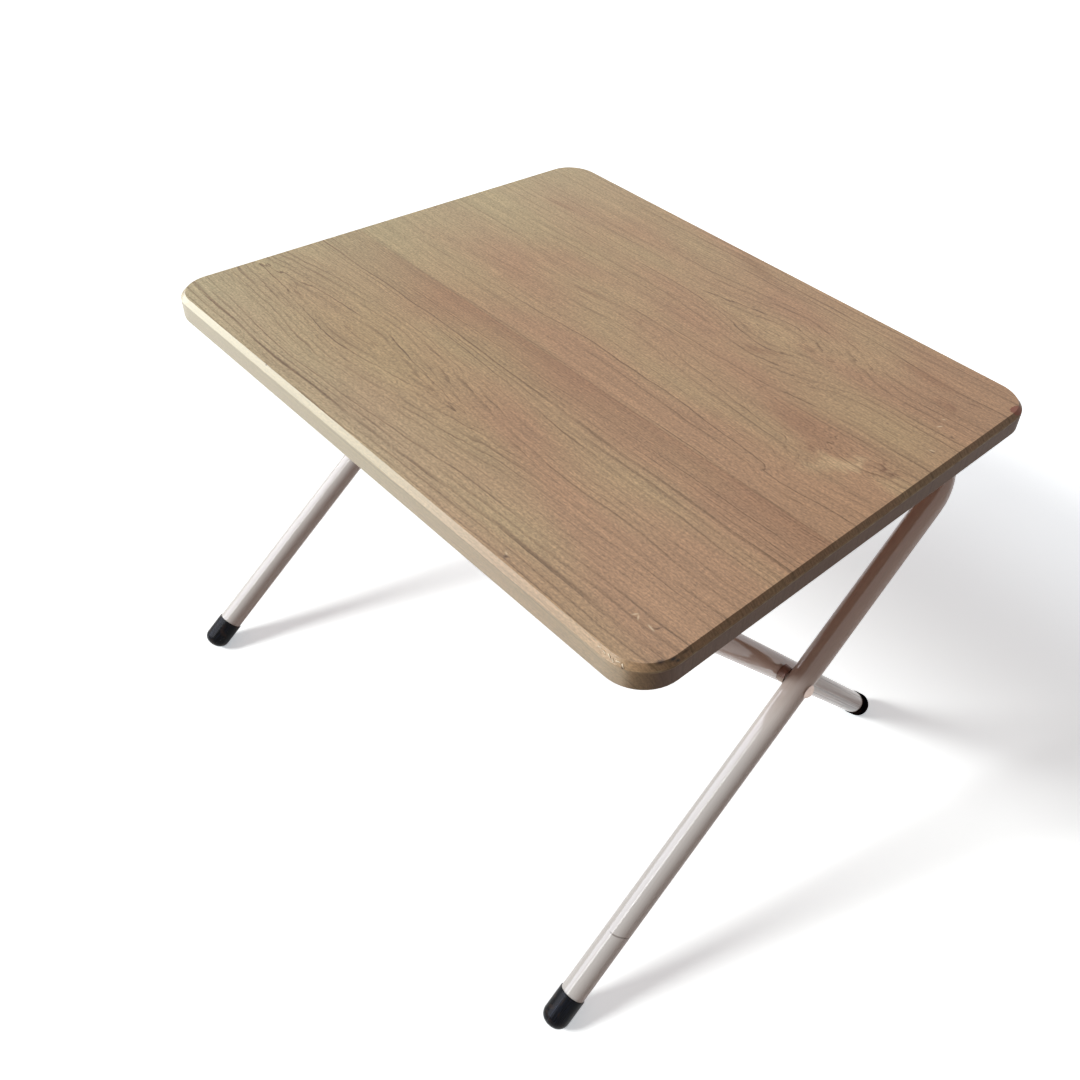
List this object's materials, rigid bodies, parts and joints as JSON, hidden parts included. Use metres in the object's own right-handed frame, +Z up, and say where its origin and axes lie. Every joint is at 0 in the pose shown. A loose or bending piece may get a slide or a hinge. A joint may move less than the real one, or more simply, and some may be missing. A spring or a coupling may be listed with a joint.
{
  "type": "folding low table",
  "caption": "Low table: a foil-covered board on two bent tube frames that cross in an X and fold flat under it.",
  "frame": {"origin": "on the floor, under the middle of the whole table's box", "axes": "+Z up; +X along the board's long edge; -Y is the front, where the outer frame's feet stand"},
  "size_m": [0.5, 0.441, 0.35],
  "materials": {
    "board_core": "raw fibreboard",
    "wood_foil": "satin printed wood-grain foil",
    "backing_paper": "matt backing paper",
    "frame_paint": "gloss off-white paint",
    "cap_rubber": "satin moulded black",
    "plated_steel": "zinc plated",
    "rivet_steel": "bright domed rivet",
    "clip_plastic": "moulded white nylon",
    "spacer_plastic": "moulded pale nylon"
  },
  "bodies": {
    "table_top": {"board_core": "board_core", "board_foil": "wood_foil", "board_backing": "backing_paper", "hinge_strap_left": "plated_steel", "hinge_strap_right": "plated_steel", "strap_screws": "plated_steel", "catch_clip_left": "clip_plastic", "catch_clip_right": "clip_plastic", "clip_screws": "plated_steel"},
    "outer_legs": {"outer_frame": "frame_paint", "foot_cap_front_left": "cap_rubber", "pivot_rivet_left": "rivet_steel", "pivot_spacer_left": "spacer_plastic", "pivot_washer_left": "plated_steel", "foot_cap_front_right": "cap_rubber", "pivot_rivet_right": "rivet_steel", "pivot_spacer_right": "spacer_plastic", "pivot_washer_right": "plated_steel"},
    "inner_legs": {"inner_frame": "frame_paint", "foot_cap_back_left": "cap_rubber", "foot_cap_back_right": "cap_rubber"}
  },
  "joints": [
    {"name": "outer_frame_fold", "type": "hinge", "parent": "table_top", "child": "outer_legs", "pos_m": [0, 0.17251, 0.3222], "axis": [-1, 0, 0], "range_deg": [0, 35], "deforming": ["catch_clip_left", "catch_clip_right"]},
    {"name": "inner_frame_fold", "type": "hinge", "parent": "outer_legs", "child": "inner_legs", "pos_m": [0, 0.00851, 0.1885], "axis": [1, 0, 0], "range_deg": [0, 80.5]}
  ],
  "couplings": [
    {"joint": "inner_frame_fold", "follows": "outer_frame_fold", "ratio": 2.3}
  ]
}
